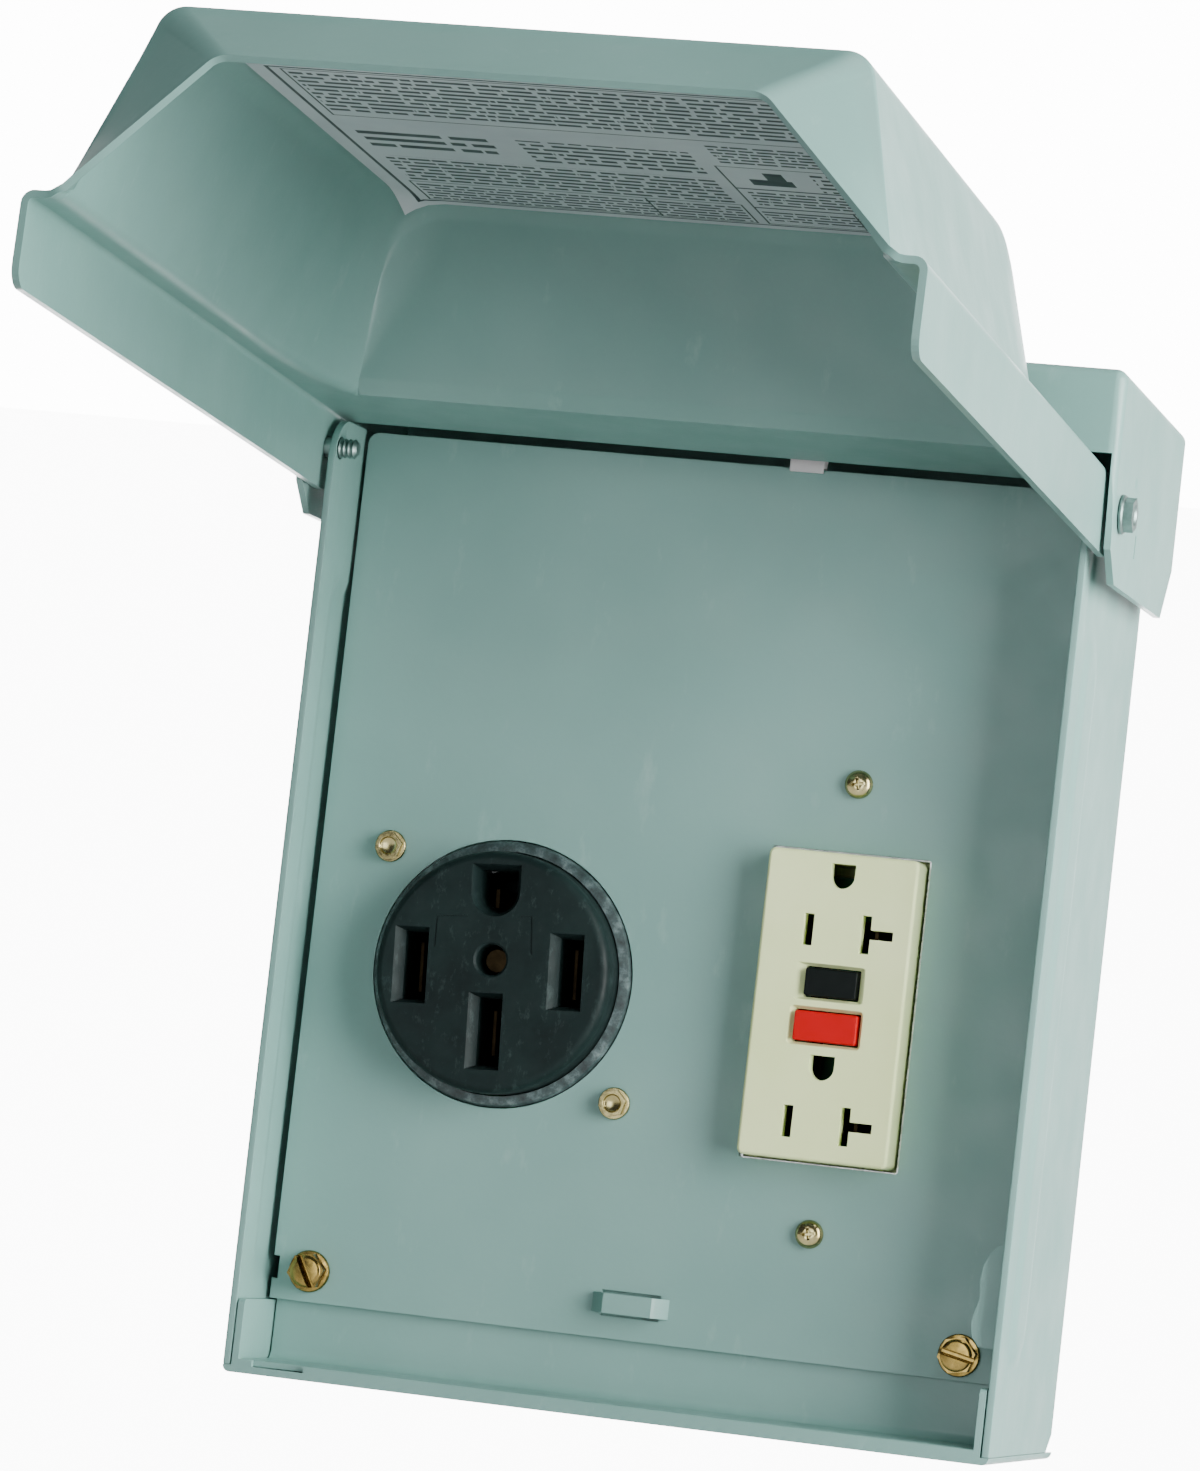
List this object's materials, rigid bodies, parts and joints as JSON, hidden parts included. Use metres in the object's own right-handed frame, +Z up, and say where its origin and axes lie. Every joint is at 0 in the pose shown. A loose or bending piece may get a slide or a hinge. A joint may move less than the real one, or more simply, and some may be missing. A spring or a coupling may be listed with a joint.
{
  "type": "surface-mounted power outlet box",
  "caption": "Sheet-steel outdoor power outlet box with a lifting drawn cover, a four-blade 50 A outlet and a ground-fault duplex outlet.",
  "frame": {"origin": "on the flat back mounting face, in the middle of the four mounting holes", "axes": "+Z up; -Y is the front, towards a person using the outlets; +X is to that person's right"},
  "size_m": [0.1862, 0.2691, 0.2628],
  "materials": {
    "paint": "semi-gloss grey-green powder coat",
    "black_moulding": "moulded black",
    "ivory_moulding": "moulded ivory",
    "red_button": "moulded red",
    "black_button": "moulded black",
    "yellow_zinc": "yellow zinc-plated steel",
    "plated_steel": "zinc-plated steel",
    "brass": "plain brass",
    "aluminium": "extruded",
    "nylon": "natural nylon",
    "label": "printed vinyl label",
    "insulator": "red-brown insulator",
    "board": "green circuit board",
    "copper": "enamelled copper winding",
    "wire_black": "insulation",
    "wire_red": "insulation",
    "wire_white": "insulation",
    "wire_green": "insulation"
  },
  "bodies": {
    "box": {"back_box": "paint", "bottom_tray": "paint", "bottom_knockout": "paint", "lower_apron": "paint", "hood": "paint", "dead_front": "paint", "hood_rivet_left": "plated_steel", "hood_rivet_right": "plated_steel", "pivot_screw_left": "plated_steel", "pivot_screw_right": "plated_steel", "panel_screw_left": "yellow_zinc", "panel_screw_right": "yellow_zinc", "top_bumper": "nylon", "cover_catch": "paint", "r50_face": "black_moulding", "r50_housing": "black_moulding", "r50_strap": "plated_steel", "r50_line_contact_left": "brass", "r50_line_contact_right": "brass", "r50_neutral_contact": "brass", "r50_ground_contact": "brass", "r50_centre_screw": "brass", "r50_fixing_screw_left": "yellow_zinc", "r50_fixing_screw_right": "yellow_zinc", "r50_terminal_screw_left": "yellow_zinc", "r50_terminal_screw_right": "yellow_zinc", "r50_terminal_screw_neutral": "yellow_zinc", "r50_terminal_screw_ground": "yellow_zinc", "gfci_face": "ivory_moulding", "gfci_body": "ivory_moulding", "gfci_strap": "plated_steel", "gfci_line_contacts": "brass", "gfci_neutral_contacts": "brass", "gfci_board": "board", "gfci_sensing_coil": "copper", "gfci_solenoid": "copper", "gfci_fixing_screw_upper": "yellow_zinc", "gfci_fixing_screw_lower": "yellow_zinc", "gfci_line_screw": "yellow_zinc", "gfci_neutral_screw": "plated_steel", "lug_base": "insulator", "lug_line_a": "aluminium", "lug_line_b": "aluminium", "lug_neutral": "aluminium", "lug_screw_line_a": "plated_steel", "lug_screw_line_b": "plated_steel", "lug_screw_neutral": "plated_steel", "ground_bar": "brass", "ground_bar_screw_supply": "yellow_zinc", "ground_bar_screw_outlet": "yellow_zinc", "wire_line_a": "wire_black", "wire_line_b": "wire_red", "wire_neutral": "wire_white", "wire_ground": "wire_green", "wire_gfci_line": "wire_black", "wire_gfci_neutral": "wire_white"},
    "cover": {"cover": "paint", "cover_label": "label"},
    "test_button": {"gfci_test_button": "black_button"},
    "reset_button": {"gfci_reset_button": "red_button"}
  },
  "joints": [
    {"name": "cover_hinge", "type": "hinge", "parent": "box", "child": "cover", "pos_m": [0, -0.0682, 0.0903], "axis": [1, 0, 0], "range_deg": [0, 93.7]},
    {"name": "test_press", "type": "slide", "parent": "box", "child": "test_button", "axis": [0, 1, 0], "range_m": [0, 0.0012], "stiffness_N_per_m": 500},
    {"name": "reset_press", "type": "slide", "parent": "box", "child": "reset_button", "axis": [0, 1, 0], "range_m": [-0.001, 0.0012], "stiffness_N_per_m": 500}
  ]
}
